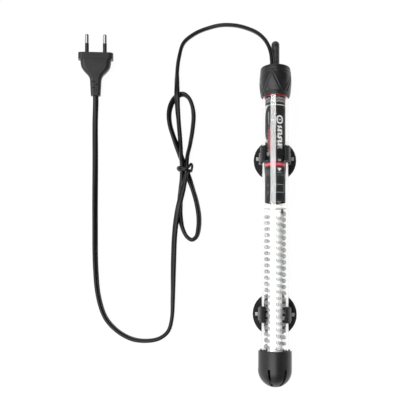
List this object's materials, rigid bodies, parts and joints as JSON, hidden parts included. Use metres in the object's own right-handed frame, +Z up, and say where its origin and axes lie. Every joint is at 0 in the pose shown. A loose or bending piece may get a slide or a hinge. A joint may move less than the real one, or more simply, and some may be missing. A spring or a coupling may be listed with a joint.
{
  "type": "submersible aquarium heater",
  "caption": "Round glass submersible heater with a barrel cap, turning temperature stem, slotted end guard, clips with suction cups, and a tied flat cord with a two-pin plug.",
  "frame": {"origin": "on the plane of the suction cups' rims, under the middle of the heater's length and width", "axes": "+Y along the tube towards the cap and knob, +Z up from the suction cups through the tube to the printed front, +X to the right when the front is seen with the cap at the top"},
  "size_m": [0.2121, 0.3406, 0.0398],
  "materials": {
    "clear_glass": "clear polished borosilicate glass",
    "black_plastic": "satin black moulded plastic",
    "red_silicone": "smooth red silicone",
    "black_rubber": "soft black rubber with a slight sheen",
    "brass": "turned brass",
    "dial_print": "printed film",
    "printed_sleeve": "printed film, black and white",
    "brown_board": "bare laminated board",
    "bright_steel": "bright drawn wire and strip",
    "lamp_glass": "small neon lamp glass",
    "sleeving": "white glass-fibre sleeving",
    "white_ceramic": "unglazed white ceramic",
    "mica": "mica sheet",
    "black_cord": "smooth black flexible PVC",
    "nickel": "nickel-plated brass"
  },
  "bodies": {
    "heater": {"glass_tube": "clear_glass", "cap": "black_plastic", "stopper": "red_silicone", "bottom_guard": "black_plastic", "stem_seal": "black_rubber", "upper_sleeve": "printed_sleeve", "lower_sleeve": "printed_sleeve", "thermostat_frame": "brown_board", "threaded_bush": "brass", "bimetal_strip": "bright_steel", "contact_arm_pin": "brass", "fixed_contact": "brass", "snap_magnet": "bright_steel", "indicator_lamp": "lamp_glass", "lamp_resistor": "brown_board", "interference_capacitor": "brown_board", "live_lead": "sleeving", "neutral_lead": "sleeving", "return_lead": "bright_steel", "ceramic_core": "white_ceramic", "heating_coil": "bright_steel", "upper_spacer": "mica", "lower_spacer": "mica", "cord_gland": "black_rubber", "cord": "black_cord", "cord_tie": "black_cord", "plug_body": "black_cord", "plug_pin_left": "nickel", "plug_pin_right": "nickel", "pin_sleeve_left": "black_cord", "pin_sleeve_right": "black_cord"},
    "dial": {"temperature_knob": "black_plastic", "adjuster_stem": "brass", "dial_ring": "dial_print"},
    "contact": {"contact_arm": "brass"},
    "upper_clip": {"upper_clip": "black_plastic"},
    "lower_clip": {"lower_clip": "black_plastic"},
    "upper_cup": {"upper_suction_cup": "black_rubber"},
    "lower_cup": {"lower_suction_cup": "black_rubber"}
  },
  "joints": [
    {"name": "temperature_turn", "type": "hinge", "parent": "heater", "child": "dial", "pos_m": [0, 0.131, 0.025], "axis": [0, 1, 0], "range_deg": [-140, 140]},
    {"name": "contact_flex", "type": "hinge", "parent": "heater", "child": "contact", "pos_m": [-0.0039, 0.0056, 0.025], "axis": [0, 0, 1], "range_deg": [-2.2, 2.2]},
    {"name": "upper_clip_slide", "type": "slide", "parent": "heater", "child": "upper_clip", "axis": [0, 1, 0], "range_m": [-0.03, 0.044]},
    {"name": "lower_clip_slide", "type": "slide", "parent": "heater", "child": "lower_clip", "axis": [0, 1, 0], "range_m": [-0.02, 0.06]},
    {"name": "upper_cup_swivel", "type": "hinge", "parent": "upper_clip", "child": "upper_cup", "pos_m": [0, 0.0475, 0.0087], "axis": [0, 0, 1], "continuous": true},
    {"name": "lower_cup_swivel", "type": "hinge", "parent": "lower_clip", "child": "lower_cup", "pos_m": [0, -0.0953, 0.0087], "axis": [0, 0, 1], "continuous": true}
  ],
  "couplings": [
    {"joint": "contact_flex", "follows": "temperature_turn", "ratio": 0.0125}
  ]
}
